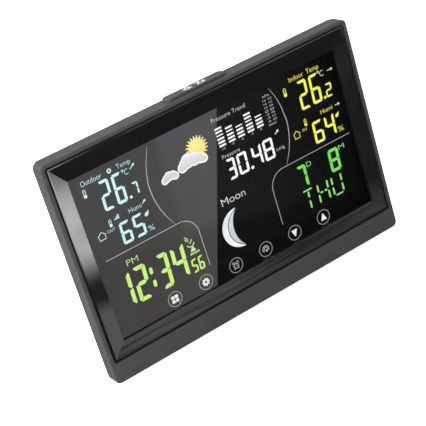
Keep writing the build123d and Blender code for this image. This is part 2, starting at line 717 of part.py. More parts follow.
# ---------------------------------------------------------------- fold-out leg
with BuildPart() as stand:
    plate(Rect(leg_hw, leg_bottom, leg_axis_z), (leg_y_in, leg_y_out))
    # rounded tip corners
    fillet(stand.edges().filter_by(Axis.Y).group_by(Axis.Z)[0], 5.0)
    centred_rod_x(leg_axis_y, leg_axis_z, leg_hw, leg_r)
    # two hollows in the inner face, with a cross rib between them
    for low, high in ((leg_bottom + 12.0, leg_bottom + 30.0), (leg_bottom + 32.0, leg_axis_z - 5.0)):
        plate(Rect(leg_hw - 4, low, high), (leg_y_in - 1, leg_axis_y + 0.3), CUT)
    # grip grooves on the outer face, near the tip
    for k in range(4):
        z = leg_bottom + 9.0 + k * 2.4
        plate(Rect(12, z, z + 1.0), (leg_y_out - 0.4, leg_y_out + 1), CUT)
    # seat for the rubber pad at the tip, on the outer face
    plate(Rect(16.1, leg_bottom - 1, leg_bottom + 3.6), (leg_y_out - pad_seat, leg_y_out + 1), CUT)
    # trunnions
    centred_rod_x(leg_axis_y, leg_axis_z, leg_hw + trunnion_l, trunnion_r)
save(stand, "stand")

with BuildPart() as stand_foot_pad:
    plate(Rect(16, leg_bottom, leg_bottom + 3.5), (leg_y_out - pad_seat, leg_y_out + 0.2))
    fillet(stand_foot_pad.edges().filter_by(Axis.X).sort_by(Axis.Y)[-2:], 0.25)
save(stand_foot_pad, "stand_foot_pad")

# ---------------------------------------------------------------- feet and fasteners
with BuildPart() as rubber_feet:
    for side in SIDES:
        foot(side, front_foot_y, 0.0, foot_top)
        foot(side, rear_foot_y, 0.0, foot_top)
    chamfer(rubber_feet.faces().group_by(Axis.Z)[0].edges(), 0.2)
save(rubber_feet, "rubber_feet")

with BuildPart() as case_screws:
    screws(case_screw_xz, y_head=y_case_seat, head_r=2.1, head_h=1.3,
           shank_r=0.98, shank_l=6.4, drive=1.2)
save(case_screws, "case_screws")

with BuildPart() as tray_screws:
    screws(tray_screw_xz, y_head=ear_y[1], head_r=1.8, head_h=1.1,
           shank_r=0.78, shank_l=4.6, drive=1.0)
save(tray_screws, "tray_screws")

with BuildPart() as pcb_screws:
    for places, shank_l in ((pcb_low_xz, 5.6), (pcb_up_xz, 3.1)):
        screws(places, y_head=y_board, head_r=2.0, head_h=1.2,
               shank_r=0.95, shank_l=shank_l, drive=1.1)
save(pcb_screws, "pcb_screws")
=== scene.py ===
"""Looks of a desk weather clock with a wide back-lit display.

The clock stands on z = 0 with its face to -Y and its width along X. The glowing readouts, the
touch keys and the snooze bar's signs are thin solids laid on the CAD pieces.

Flat art is drawn in millimetres as (x, z) on the face plane, from the display's centre. It is
then carried along the main camera's lines of sight to its own depth, so that it keeps its place
in that view. Boxes for signs are given as left, right, top, base.
"""

import math

import bpy
import bmesh
from mathutils import Matrix, Vector
from mathutils.geometry import tessellate_polygon


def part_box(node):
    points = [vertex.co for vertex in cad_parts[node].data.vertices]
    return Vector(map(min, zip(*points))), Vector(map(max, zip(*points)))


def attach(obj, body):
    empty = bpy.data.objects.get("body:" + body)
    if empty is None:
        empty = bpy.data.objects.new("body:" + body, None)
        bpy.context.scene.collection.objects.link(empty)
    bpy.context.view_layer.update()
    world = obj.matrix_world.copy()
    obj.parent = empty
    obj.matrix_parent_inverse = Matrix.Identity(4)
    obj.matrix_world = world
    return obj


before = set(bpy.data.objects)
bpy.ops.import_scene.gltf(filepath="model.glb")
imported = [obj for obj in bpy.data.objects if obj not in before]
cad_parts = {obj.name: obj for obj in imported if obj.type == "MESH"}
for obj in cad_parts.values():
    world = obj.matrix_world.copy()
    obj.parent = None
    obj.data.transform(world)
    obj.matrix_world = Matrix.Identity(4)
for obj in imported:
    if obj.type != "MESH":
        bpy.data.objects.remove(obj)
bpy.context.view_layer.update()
MM = 0.001

# ---------------------------------------------------------------- places, mm
lens_lo, lens_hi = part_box("window_lens")
film_lo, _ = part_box("lcd_polarisers")
front_lo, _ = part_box("front_cover")
bar_lo, bar_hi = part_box("snooze_bar")
FACE_Y = front_lo[1] / MM
CENTRE_Z = front_lo[2] / MM + 66.45     # height of the display's centre
LENS_Y = lens_lo[1] / MM
LENS_BACK_Y = lens_hi[1] / MM
INK_Y = film_lo[1] / MM - 0.10          # lit segments, just in front of the display's film
KEY_Y = LENS_BACK_Y - 0.06              # key print, at the back of the window
INK_THICK = 0.05
PRINT_THICK = 0.03
FONT_OFFSET = -0.012                    # thins the letters, in units of the font size

# main camera: place, then its right, up and backward axes
EYE = Vector((-315.97, FACE_Y - 626.26, CENTRE_Z + 296.42))
EYE_AXES = (Vector((0.80870, -0.51990, -0.27513)),
            Vector((0.43276, 0.20908, 0.87693)),
            Vector((-0.39840, -0.82824, 0.39407)))


def on_plane(x, z, y):
    """Face-plane point (x, z) carried along the main line of sight to depth y."""
    k = (y - FACE_Y) / (FACE_Y - EYE.y)
    return x + (x - EYE.x) * k, y, CENTRE_Z + z + (CENTRE_Z + z - EYE.z) * k


# ---------------------------------------------------------------- shader graphs
class Graph:
    """Short ways to add and join shader nodes in one node tree."""

    def __init__(self, tree):
        self.nodes, self.links = tree.nodes, tree.links

    def add(self, kind, inputs=None, **settings):
        """New node; each input is given a value, or a socket to link from."""
        node = self.nodes.new("ShaderNode" + kind)
        for key, value in settings.items():
            setattr(node, key, value)
        for key, value in (inputs or {}).items():
            self.feed(node, key, value)
        return node

    def feed(self, node, key, value):
        if isinstance(value, bpy.types.NodeSocket):
            self.links.new(value, node.inputs[key])
        else:
            node.inputs[key].default_value = value

    def find(self, kind):
        return next(n for n in self.nodes if n.bl_idname == "ShaderNode" + kind)

    def coords(self, space):
        return self.add("TexCoord").outputs[space]

    def math(self, operation, a, b):
        return self.add("Math", {0: a, 1: b}, operation=operation).outputs[0]

    def times(self, *factors):
        result = factors[0]
        for factor in factors[1:]:
            result = self.math("MULTIPLY", result, factor)
        return result

    def plus(self, *terms):
        result = terms[0]
        for term in terms[1:]:
            result = self.math("ADD", result, term)
        return result

    def noise(self, vector, scale, detail=3.0, rough=0.55):
        return self.add("TexNoise", {"Scale": scale, "Detail": detail, "Roughness": rough,
                                     "Vector": vector}).outputs["Fac"]

    def stretched(self, vector, scale):
        return self.add("Mapping", {"Scale": scale, "Vector": vector}).outputs["Vector"]

    def ramp(self, fac, low, high, span=(0.3, 0.7)):
        """Colour low at the start of the span, high at its end."""
        node = self.add("ValToRGB", {"Fac": fac})
        for stop, place, color in zip(node.color_ramp.elements, span, (low, high)):
            stop.position = place
            stop.color = (*color, 1)
        return node.outputs["Color"]

    def remap(self, value, source, target, **settings):
        return self.add("MapRange", {
            "From Min": source[0], "From Max": source[1],
            "To Min": target[0], "To Max": target[1], "Value": value,
        }, **settings).outputs["Result"]

    def step(self, value, zero_at, one_at):
        """Smooth step; one_at may be below zero_at."""
        rising = zero_at < one_at
        return self.remap(value, sorted((zero_at, one_at)), (0.0, 1.0) if rising else (1.0, 0.0),
                          interpolation_type="SMOOTHSTEP")

    def steps(self, *edges):
        """Product of steps, each given as (value, zero at, one at)."""
        return self.times(*[self.step(*edge) for edge in edges])

    def bump(self, height, depth_mm, **normal):
        inputs = {"Distance": depth_mm * MM, "Height": height, **normal}
        return self.add("Bump", inputs).outputs["Normal"]

    def directions(self, vector):
        """Azimuth in degrees (0 to the front, + to the right), x and z of a direction."""
        x, y, z = self.add("SeparateXYZ", {0: vector}).outputs
        angle = self.math("ARCTAN2", x, self.times(y, -1.0))
        return self.times(angle, 180 / math.pi), x, z


def new_material(name):
    mat = bpy.data.materials.new(name)
    mat.use_nodes = True
    mat.node_tree.nodes.clear()
    return mat, Graph(mat.node_tree)


def surface(name, color, rough, metal=0.0, var=0.12, var_scale=60.0, grain=0.0,
            grain_scale=2400.0, grain2=0.0, grain2_scale=400.0, spec=0.5, coat=0.0,
            coat_rough=0.05, rough_var=0.06, stretch=None):
    """Principled surface with drifting colour and roughness, and two grains of depth in mm."""
    mat, g = new_material(name)
    shader = g.add("BsdfPrincipled", {"Metallic": metal, "Specular IOR Level": spec})
    g.add("OutputMaterial", {"Surface": shader.outputs[0]})
    place = g.coords("Object")
    if stretch:
        place = g.stretched(place, stretch)
    dark = tuple(max(0.0, c * (1 - var)) for c in color)
    pale = tuple(min(1.0, c * (1 + var)) for c in color)
    g.feed(shader, "Base Color", g.ramp(g.noise(place, var_scale, detail=4.0), dark, pale))
    drift = g.noise(place, var_scale * 2.3)
    g.feed(shader, "Roughness",
           g.remap(drift, (0.3, 0.7), (rough - rough_var, rough + rough_var)))
    if coat:
        g.feed(shader, "Coat Weight", coat)
        g.feed(shader, "Coat Roughness", coat_rough)
    if grain or grain2:
        normal = g.bump(g.noise(place, grain_scale, detail=2.0), grain)
        if grain2:
            normal = g.bump(g.noise(place, grain2_scale, detail=2.0), grain2, Normal=normal)
        g.feed(shader, "Normal", normal)
    return mat


def linear(rgb):
    """8-bit sRGB to linear colour."""
    parts = [c / 255.0 for c in rgb]
    return tuple(c / 12.92 if c <= 0.04045 else ((c + 0.055) / 1.055) ** 2.4 for c in parts)


def lit(name, color, top_color=None, low=0.0, high=100.0, strength=1.0, mottle=0.10):
    """Back-lit ink, slightly uneven. Fades from color at height low to top_color at high, mm."""
    mat, g = new_material(name)
    place = g.coords("Object")
    height = g.add("SeparateXYZ", {0: place}).outputs["Z"]
    rise = g.remap(height, (low * MM, high * MM), (0.0, 1.0))
    base = g.ramp(rise, linear(color), linear(top_color or color), span=(0.0, 1.0))
    patches = g.remap(g.noise(place, 260.0, detail=2.0), (0.3, 0.7),
                      (1.0 - mottle, 1.0 + mottle * 0.4))
    glow = g.add("Mix", {"Factor": 1.0, "A": base, "B": patches},
                 data_type="RGBA", blend_type="MULTIPLY")
    shader = g.add("BsdfPrincipled", {
        "Base Color": (0.01, 0.01, 0.01, 1), "Roughness": 0.6, "Specular IOR Level": 0.0,
        "Emission Color": glow.outputs["Result"], "Emission Strength": strength})
    g.add("OutputMaterial", {"Surface": shader.outputs[0]})
    return mat


def trim_material():
    """Gloss black, with faint bands and a painted reflection of grey floor on the slope that
    faces right.
    """
    mat = surface("trim_gloss", (0.005, 0.005, 0.0055), rough=0.06, var=0.2, var_scale=30,
                  spec=0.5, rough_var=0.015, coat=0.25, coat_rough=0.03)
    g = Graph(mat.node_tree)
    shader = g.find("BsdfPrincipled")
    reflection = g.find("TexCoord").outputs["Reflection"]
    normal = g.add("SeparateXYZ", {0: g.add("NewGeometry").outputs["True Normal"]}).outputs

    # bands that run along the slope that faces up, as a drift of its mirror strength
    lines = g.noise(g.stretched(g.coords("Object"), (9.0, 0.0, 360.0)), 1.0)
    band = g.remap(lines, (0.34, 0.66), (-0.48, 0.34))
    faces_up = g.step(normal["Z"], 0.04, 0.06)
    g.feed(shader, "Specular IOR Level", g.plus(0.5, g.times(band, faces_up)))

    # painted reflection of the floor on the slope that faces right: a glow that only the eye sees
    azimuth, _, height = g.directions(reflection)
    edges = ((normal["X"], 0.04, 0.06), (azimuth, 28.0, 29.6), (azimuth, 34.0, 32.5),
             (height, -0.423, -0.436), (height, -0.52, -0.49))
    patch = g.times(g.add("LightPath").outputs["Is Camera Ray"], *[g.step(*e) for e in edges])
    # brightness of the painted floor reflection
    painted_reflection_strength = 0.074
    glow = g.add("Emission", {"Color": (1.0, 0.985, 0.99, 1),
                              "Strength": g.times(patch, painted_reflection_strength)})
    both = g.add("AddShader", {0: glow.outputs[0], 1: shader.outputs[0]})
    g.feed(g.find("OutputMaterial"), "Surface", both.outputs[0])
    return mat


def cut_plane():
    """Normal, to the left, of the plane of mirrored sight lines through the glare's edge."""
    mirrored_eye = Vector((EYE.x, 2 * LENS_Y - EYE.y, EYE.z))
    top = Vector(on_plane(6.4, 53.6, LENS_Y))
    bottom = Vector(on_plane(-25.8, -43.4, LENS_Y))
    normal = (top - mirrored_eye).cross(bottom - mirrored_eye).normalized()
    if normal.dot(Vector(on_plane(-60, 0, LENS_Y)) - mirrored_eye) < 0:
        normal = -normal
    return normal


def window_glare(g, mirror, height, azimuth):
    """Brightness of the painted reflection of the studio that the eye sees in the window."""
    def height_band():
        return g.steps((height, -0.60, -0.52), (height, -0.20, -0.28))

    def right_start():
        return g.step(azimuth, 12.0, 16.0)

    # pane of light on the viewer's left, cut off along a straight edge
    side = g.add("VectorMath", {0: mirror, 1: tuple(cut_plane())}, operation="DOT_PRODUCT")
    pane = g.times(g.step(side.outputs["Value"], -0.0007, 0.0007),
                   g.times(right_start(), height_band()))
    # faint upright folds in it
    folds = g.noise(g.stretched(mirror, (26.0, 26.0, 4.0)), 1.0, detail=2.0)
    pane = g.times(pane, g.remap(folds, (0.3, 0.7), (0.90, 1.10)))
    # brighter field next to the cut in the upper half
    high = g.step(height, -0.410, -0.396)
    field = g.times(g.step(azimuth, 23.9, 24.5), high)
    pane = g.times(pane, g.plus(0.95, g.times(field, 0.30)))
    # weak light that fades to the right
    weak = g.times(g.step(azimuth, 33.0, 26.0), g.plus(0.045, g.times(high, 0.11)),
                   right_start(), height_band())
    everywhere = 0.02
    sky = g.times(g.step(height, 0.02, 0.55), 0.55)
    return g.plus(pane, weak, everywhere, sky)


def window_material():
    """Clear, with mirror strength by angle; the eye sees a painted glare in place of mirrors."""
    mat, g = new_material("window_clear")
    coords = g.add("TexCoord").outputs
    place, mirror = coords["Object"], coords["Reflection"]
    tint = g.ramp(g.noise(place, 25.0, detail=2.0), (0.955, 0.955, 0.965), (0.985, 0.985, 0.985))
    clear = g.add("BsdfTransparent", {"Color": tint})
    waves = g.bump(g.noise(place, 18.0, detail=1.0), depth_mm=0.004)
    shine = g.add("BsdfGlossy", {"Roughness": 0.012, "Normal": waves})
    fresnel = g.add("Fresnel", {"IOR": 1.46}).outputs[0]
    outer = g.math("SUBTRACT", 1.0, g.add("NewGeometry").outputs["Backfacing"])
    to_eye = g.add("LightPath").outputs["Is Camera Ray"]
    not_eye = g.math("SUBTRACT", 1.0, to_eye)
    body = g.add("MixShader", {"Fac": g.times(fresnel, outer, not_eye),
                               1: clear.outputs[0], 2: shine.outputs[0]})

    azimuth, _, height = g.directions(mirror)
    glare = g.times(window_glare(g, mirror, height, azimuth), outer, to_eye)
    warm_to_cool = g.ramp(g.remap(height, (-0.42, -0.36), (0.0, 1.0)),
                          (1.0, 0.94, 0.90), (1.0, 0.975, 1.0), span=(0.2, 0.8))
    glare_strength = 1.55
    glow = g.add("Emission", {"Color": warm_to_cool,
                              "Strength": g.times(fresnel, glare, glare_strength)})
    both = g.add("AddShader", {0: body.outputs[0], 1: glow.outputs[0]})
    g.add("OutputMaterial", {"Surface": both.outputs[0]})
    return mat


mask_black = surface("mask_black", (0.0022, 0.0022, 0.0024), rough=0.35, var=0.15, spec=0.04,
                     grain=0.002)

# material, then the CAD pieces that wear it
FINISHES = (
    (surface("casing_plastic", (0.040, 0.040, 0.042), rough=0.46, var=0.10, var_scale=45,
             grain=0.030, grain_scale=2600, grain2=0.03, grain2_scale=700, spec=0.42),
     "front_cover rear_cover snooze_bar battery_door stand"),
    (trim_material(), "bezel_trim"),
    (surface("foam_black", (0.0024, 0.0024, 0.0026), rough=0.9, grain=0.05, grain_scale=3000,
             spec=0.02), "lcd_gasket"),
    (surface("display_film", (0.0022, 0.0022, 0.0027), rough=0.35, var=0.15, spec=0.04,
             grain=0.002), "lcd_polarisers colour_film"),
    (surface("display_glass", (0.03, 0.032, 0.035), rough=0.06, spec=0.5, coat=0.5,
             grain2=0.004, grain2_scale=40), "lcd_front_glass lcd_rear_glass"),
    (surface("diffuser_milky", (0.78, 0.78, 0.77), rough=0.55, grain=0.01), "diffuser_sheet"),
    (surface("acrylic_guide", (0.70, 0.74, 0.76), rough=0.08, coat=0.6, grain=0.004,
             grain_scale=900), "light_guide"),
    (surface("white_moulded", (0.66, 0.66, 0.63), rough=0.42, grain=0.02, grain_scale=1800),
     "reflector_sheet lcd_tray snooze_switch_plunger climate_sensor board_connectors"),
    (surface("board_green", (0.012, 0.115, 0.045), rough=0.32, var=0.25, var_scale=220,
             grain=0.02, grain_scale=900, coat=0.3), "snooze_board main_pcb rf_module"),
    (surface("board_white", (0.62, 0.62, 0.58), rough=0.4, grain=0.015), "backlight_led_boards"),
    (surface("led_package", (0.80, 0.74, 0.42), rough=0.35, grain=0.01), "backlight_leds"),
    (surface("ribbon_amber", (0.42, 0.17, 0.03), rough=0.25, coat=0.4, stretch=(8, 1, 1)),
     "lcd_flex touch_flex"),
    (surface("copper_wire", (0.62, 0.27, 0.12), rough=0.28, metal=1.0, stretch=(14, 1, 1),
             grain=0.02, grain_scale=900), "rf_antenna antenna_coil"),
    (surface("epoxy_black", (0.018, 0.018, 0.019), rough=0.5, grain=0.02),
     "snooze_switch_body mcu_chips buzzer dc_jack_body"),
    (surface("metal_can", (0.55, 0.55, 0.56), rough=0.3, metal=1.0, grain=0.006,
             stretch=(1, 1, 10)), "pressure_sensor capacitors crystals"),
    (surface("ferrite_grey", (0.05, 0.05, 0.055), rough=0.62, grain=0.04, grain_scale=1200),
     "ferrite_rod"),
    (surface("cell_jacket", (0.16, 0.18, 0.21), rough=0.28, metal=0.7, coat=0.4, grain=0.003),
     "battery_cells"),
    (surface("nickel_plate", (0.60, 0.57, 0.52), rough=0.26, metal=1.0, grain=0.006,
             stretch=(1, 12, 1)), "dc_jack_pin battery_contacts battery_springs"),
    (surface("wire_red", (0.35, 0.02, 0.02), rough=0.4, grain=0.01),
     "snooze_wires battery_wires"),
    (surface("screw_zinc", (0.20, 0.20, 0.21), rough=0.34, metal=1.0, grain=0.01,
             grain_scale=1500), "case_screws tray_screws pcb_screws"),
    (surface("foot_rubber", (0.014, 0.014, 0.0145), rough=0.78, grain=0.03, grain_scale=2000,
             spec=0.25), "stand_foot_pad rubber_feet"),
    (surface("label_foil", (0.36, 0.36, 0.37), rough=0.42, metal=0.25, grain=0.004,
             grain_scale=1200), "rating_label"),
    (mask_black, "window_mask"),
    (surface("touch_board_black", (0.004, 0.004, 0.0045), rough=0.5, spec=0.05, grain=0.01),
     "touch_board touch_electrodes"),
    (window_material(), "window_lens"),
)


def dress_parts():
    part_material = {part: mat for mat, parts in FINISHES for part in parts.split()}
    for name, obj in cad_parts.items():
        mat = part_material[name]
        if not obj.material_slots:
            obj.data.materials.append(mat)
        for slot in obj.material_slots:
            slot.material = mat


# ---------------------------------------------------------------- thin solids
def prism_faces(loops, base):
    """Faces of a flat solid: its front points start at base, and its back points follow."""
    count = sum(len(loop) for loop in loops)
    faces = []
    for a, b, c in tessellate_polygon([[Vector((*p, 0)) for p in loop] for loop in loops]):
        faces.append((base + a, base + b, base + c))
        faces.append((base + count + c, base + count + b, base + count + a))
    start = base
    for loop in loops:
        for i in range(len(loop)):
            j = (i + 1) % len(loop)
            faces.append((start + i, start + j, start + count + j, start + count + i))
        start += len(loop)
    return faces


def print_object(name, mat, verts, faces, body):
    mesh = bpy.data.meshes.new(name)
    mesh.from_pydata(verts, [], faces)
    bm = bmesh.new()
    bm.from_mesh(mesh)
    bmesh.ops.remove_doubles(bm, verts=bm.verts, dist=1e-7)
    bmesh.ops.recalc_face_normals(bm, faces=bm.faces)
    bm.to_mesh(mesh)
    bm.free()
    obj = bpy.data.objects.new(name, mesh)
    bpy.context.scene.collection.objects.link(obj)
    mesh.materials.append(mat)
    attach(obj, body)


def text_mesh(words, **settings):
    """Mesh of words in the built-in font; the caller removes it."""
    curve = bpy.data.curves.new("t", "FONT")
    curve.body = words
    for key, value in settings.items():
        setattr(curve, key, value)
    obj = bpy.data.objects.new("t", curve)
    bpy.context.scene.collection.objects.link(obj)
    bpy.context.view_layer.update()
    depsgraph = bpy.context.evaluated_depsgraph_get()
    mesh = bpy.data.meshes.new_from_object(obj.evaluated_get(depsgraph))
    bpy.data.objects.remove(obj)
    bpy.data.curves.remove(curve)
    return mesh


def capital_height():
    mesh = text_mesh("H")
    height = max(v.co.y for v in mesh.vertices)
    bpy.data.meshes.remove(mesh)
    return height


CAPITAL = capital_height()


class Ink:
    """Thin closed solids of one colour on the face, gathered into one object."""

    def __init__(self, name, mat, y=INK_Y, thick=INK_THICK):
        self.name, self.mat, self.y, self.thick = name, mat, y, thick
        self.verts, self.faces = [], []
        self.shift = (0.0, 0.0)

    def at(self, dx, dz):
        """Shift what is drawn from here on."""
        self.shift = (dx, dz)

    def point(self, x, z, depth):
        x, y, z = on_plane(x + self.shift[0], z + self.shift[1], self.y)
        self.verts.append((x * MM, (y + depth) * MM, z * MM))

    def poly(self, outer, *holes):
        loops = [outer, *holes]
        base = len(self.verts)
        for depth in (0.0, self.thick):
            for loop in loops:
                for x, z in loop:
                    self.point(x, z, depth)
        self.faces += prism_faces(loops, base)

    def text(self, words, left, right, base_z, capital):
        """Words from left to right on the line base_z; capital is the height of capitals."""
        mesh = text_mesh(words, size=1.0, offset=FONT_OFFSET, resolution_u=3, extrude=0.5)
        xs = [v.co.x for v in mesh.vertices]
        scale = (right - left) / (max(xs) - min(xs))
        base = len(self.verts)
        for v in mesh.vertices:
            self.point(left + (v.co.x - min(xs)) * scale, base_z + v.co.y * capital / CAPITAL,
                       0.0 if v.co.z > 0 else self.thick)
        for p in mesh.polygons:
            self.faces.append(tuple(base + i for i in p.vertices))
        bpy.data.meshes.remove(mesh)

    def done(self):
        print_object(self.name, self.mat, self.verts, self.faces, "casing")


# ---------------------------------------------------------------- outlines
def disc(cx, cz, r, n):
    turns = [2 * math.pi * i / n for i in range(n)]
    return [(cx + r * math.cos(a), cz + r * math.sin(a)) for a in turns]


def ring(cx, cz, outer, n_outer, inner, n_inner):
    """Outer loop and hole."""
    return [disc(cx, cz, outer, n_outer), disc(cx, cz, inner, n_inner)]


def arc_band(cx, cz, inner, outer, start, end, n):
    """Part of a ring, from start to end in degrees."""
    a0, a1 = math.radians(start), math.radians(end)
    turns = [a0 + (a1 - a0) * i / n for i in range(n + 1)]
    rims = [[(cx + r * math.cos(a), cz + r * math.sin(a)) for a in turns] for r in (outer, inner)]
    return rims[0] + rims[1][::-1]


def toothed(cx, cz, count, root, tip):
    """Wheel with teeth; root and tip are (radius, half angle of a tooth there)."""
    points = []
    for k in range(count):
        a = 2 * math.pi * k / count
        for (r, half), side in ((root, -1), (tip, -1), (tip, 1), (root, 1)):
            turn = a + side * half
            points.append((cx + r * math.cos(turn), cz + r * math.sin(turn)))
    return points


def rect(x0, x1, z0, z1):
    return [(x0, z0), (x1, z0), (x1, z1), (x0, z1)]


def rounded_rect(x0, x1, z0, z1, r, n=4):
    points = []
    for cx, cz, a in ((x1 - r, z1 - r, 0), (x0 + r, z1 - r, 90),
                      (x0 + r, z0 + r, 180), (x1 - r, z0 + r, 270)):
        for i in range(n + 1):
            t = math.radians(a + 90 * i / n)
            points.append((cx + r * math.cos(t), cz + r * math.sin(t)))
    return points


def smooth_path(points, per=8):
    """Smooth curve through the points, with per steps between neighbours."""
    ends = [points[0], *points, points[-1]]
    path = []
    for p0, p1, p2, p3 in zip(ends, ends[1:], ends[2:], ends[3:]):
        for j in range(per):
            t = j / per
            path.append(tuple(
                0.5 * (2 * p1[c] + (p2[c] - p0[c]) * t
                       + (2 * p0[c] - 5 * p1[c] + 4 * p2[c] - p3[c]) * t * t
                       + (3 * p1[c] - p0[c] - 3 * p2[c] + p3[c]) * t ** 3) for c in (0, 1)))
    path.append(points[-1])
    return path


def stroke(points, width):
    """Outline of a line; width is a number, or a function of 0..1 along it."""
    width_at = width if callable(width) else (lambda t: width)
    last = len(points) - 1
    one_side, other_side = [], []
    for i, (x, z) in enumerate(points):
        before, after = points[max(0, i - 1)], points[min(last, i + 1)]
        dx, dz = after[0] - before[0], after[1] - before[1]
        length = math.hypot(dx, dz) or 1.0
        half = width_at(i / last) / 2
        one_side.append((x - dz / length * half, z + dx / length * half))
        other_side.append((x + dz / length * half, z - dx / length * half))
    return one_side + other_side[::-1]


def crescent_edge(x_tip, top, base, x_mid, n=26):
    """Arc from the lower tip to the upper tip, through x_mid at mid height."""
    half, sag = (top - base) / 2, x_tip - x_mid
    r = (half * half + sag * sag) / (2 * sag)
    cx, cz = x_mid + r, (top + base) / 2
    a = math.asin(min(1.0, half / r))
    if sag > half:
        a = math.pi - a
    turns = [-a + 2 * a * i / n for i in range(n + 1)]
    return [(cx - r * math.cos(t), cz - r * math.sin(t)) for t in turns]


def cloud(centre, circles, floor, shrink=0.0, n=120):
    """Outline round overlapping circles (x, z, radius), cut flat at floor; seen from centre."""
    points = []
    for i in range(n):
        a = 2 * math.pi * i / n
        ux, uz = math.cos(a), math.sin(a)
        reach = 0.0
        for x, z, r in circles:
            r -= shrink
            ox, oz = x - centre[0], z - centre[1]
            along = ox * ux + oz * uz
            q = along * along - (ox * ox + oz * oz - r * r)
            if q > 0:
                reach = max(reach, along + math.sqrt(q))
        if uz < -1e-6:
            reach = min(reach, (floor + shrink - centre[1]) / uz)
        points.append((centre[0] + reach * ux, centre[1] + reach * uz))
    return points


# ---------------------------------------------------------------- signs
# a top, b upper right, c lower right, d bottom, e lower left, f upper left, g middle
SEGMENTS = {"0": "abcdef", "1": "bc", "2": "abged", "3": "abgcd", "4": "fgbc",
            "5": "afgcd", "6": "afgedc", "7": "abc", "8": "abcdefg"}


def digit(ink, char, left, right, top, base, s, gap=0.10, slant=0.04):
    """Seven-segment digit with stroke s."""
    lean = slant * (top - base) / 2
    left, right = left + lean, right - lean
    mid = (top + base) / 2
    cut = 0.62 * s

    def corner(x, z, sx, sz):
        """Ends of the bar and of the post that meet at a chamfered corner."""
        mx, mz = x - sx * cut * 0.5, z - sz * cut * 0.5
        ix, iz = x - sx * s, z - sz * s
        bar = ((x - sx * cut, z), (mx - sx * gap * 0.5, mz + sz * gap * 0.5), (ix - sx * gap, iz))
        post = ((x, z - sz * cut), (mx + sx * gap * 0.5, mz - sz * gap * 0.5),
                (ix, iz - sz * gap))
        return bar, post

    def bar(z, sz):
        l0, l1, l2 = corner(left, z, -1, sz)[0]
        r0, r1, r2 = corner(right, z, 1, sz)[0]
        return [l0, r0, r1, r2, l2, l1]

    def post(x, z, sx, sz):
        p0, p1, p2 = corner(x, z, sx, sz)[1]
        return [p1, p0, (x, mid + sz * (0.12 * s + gap)), (x - sx * 0.45 * s, mid + sz * gap),
                (x - sx * s, mid + sz * (0.5 * s + gap)), p2]

    shapes = {
        "a": bar(top, 1), "d": bar(base, -1),
        "b": post(right, top, 1, 1), "c": post(right, base, 1, -1),
        "f": post(left, top, -1, 1), "e": post(left, base, -1, -1),
        "g": [(left + 0.45 * s + gap, mid), (left + s + gap, mid + s / 2),
              (right - s - gap, mid + s / 2), (right - 0.45 * s - gap, mid),
              (right - s - gap, mid - s / 2), (left + s + gap, mid - s / 2)],
    }
    for segment in SEGMENTS[char]:
        ink.poly([(x + slant * (z - mid), z) for x, z in shapes[segment]])


def thermometer(ink, x0, x1, top, base):
    cx, r = (x0 + x1) / 2, (x1 - x0) * 0.42
    side = r * 0.62
    ink.poly(disc(cx, base + r, r, 16))
    tube = [(cx - side, base + r * 2.0), (cx - side, top - r * 0.6), (cx, top),
            (cx + side, top - r * 0.6), (cx + side, base + r * 2.0)]
    ink.poly(stroke(tube, r * 0.42))


# outline of the droplet, as parts of its width and height from the middle
DROPLET = ((0.5, 0.5), (0.28, 0.36), (-0.2, 0.22), (-0.42, -0.02), (-0.46, -0.28),
           (-0.3, -0.46), (-0.02, -0.48), (0.22, -0.30), (0.36, 0.0), (0.44, 0.26))


def droplet(ink, x0, x1, top, base):
    cx, cz, w, h = (x0 + x1) / 2, (top + base) / 2, x1 - x0, top - base
    ink.poly([(cx + a * w, cz + b * h) for a, b in DROPLET])


def trend_arrow(ink, x0, x1, top, base):
    """Arrow from lower left to upper right, or level in a low box."""
    w = 0.7
    if top - base > 1.9 * w and (x1 - x0) < 2.4 * (top - base):
        tail_z = base + 0.3
        length = math.hypot(x1 - x0, top - tail_z)
        u, v = (x1 - x0) / length, (top - tail_z) / length
        neck = (x1 - u * 1.5, top - v * 1.5)
        ink.poly(stroke([(x0, tail_z), neck], w * 0.7))
        ink.poly([(x1, top), (neck[0] - v * 0.85, neck[1] + u * 0.85),
                  (neck[0] + v * 0.85, neck[1] - u * 0.85)])
    else:
        mid = (top + base) / 2
        ink.poly(rect(x0, x1 - 1.3, mid - w * 0.3, mid + w * 0.3))
        ink.poly([(x1, mid), (x1 - 1.4, mid + 0.9), (x1 - 1.4, mid - 0.9)])


def house(ink, x0, x1, top, base):
    w = 0.42
    eaves, wall_top, sill = top - (top - base) * 0.45, top - (top - base) * 0.5, base + w / 2
    ink.poly(stroke([(x0, eaves), ((x0 + x1) / 2, top), (x1, eaves)], w))
    ink.poly(stroke([(x0 + 0.6, wall_top), (x0 + 0.6, sill), (x1 - 0.6, sill),
                     (x1 - 0.6, wall_top)], w))


def signal_bars(ink, x0, x1, top, base):
    n = 4
    w = (x1 - x0) / (n * 1.5 - 0.5)
    for i in range(n):
        x = x0 + i * w * 1.5
        ink.poly(rect(x, x + w, base, base + (top - base) * (i + 1) / n))


def degree_mark(ink, cx, cz):
    ink.poly(*ring(cx, cz, 0.75, 12, 0.38, 8))


def pointed_bar(ink, x0, z0, x1, z1, w=1.15):
    """Bar with pointed ends."""
    dx, dz = x1 - x0, z1 - z0
    length = math.hypot(dx, dz)
    u, v = dx / length, dz / length
    h = w / 2
    c = min(h, length * 0.3)
    ink.poly([(x0, z0), (x0 + u * c - v * h, z0 + v * c + u * h),
              (x1 - u * c - v * h, z1 - v * c + u * h), (x1, z1),
              (x1 - u * c + v * h, z1 - v * c - u * h),
              (x0 + u * c + v * h, z0 + v * c - u * h)])


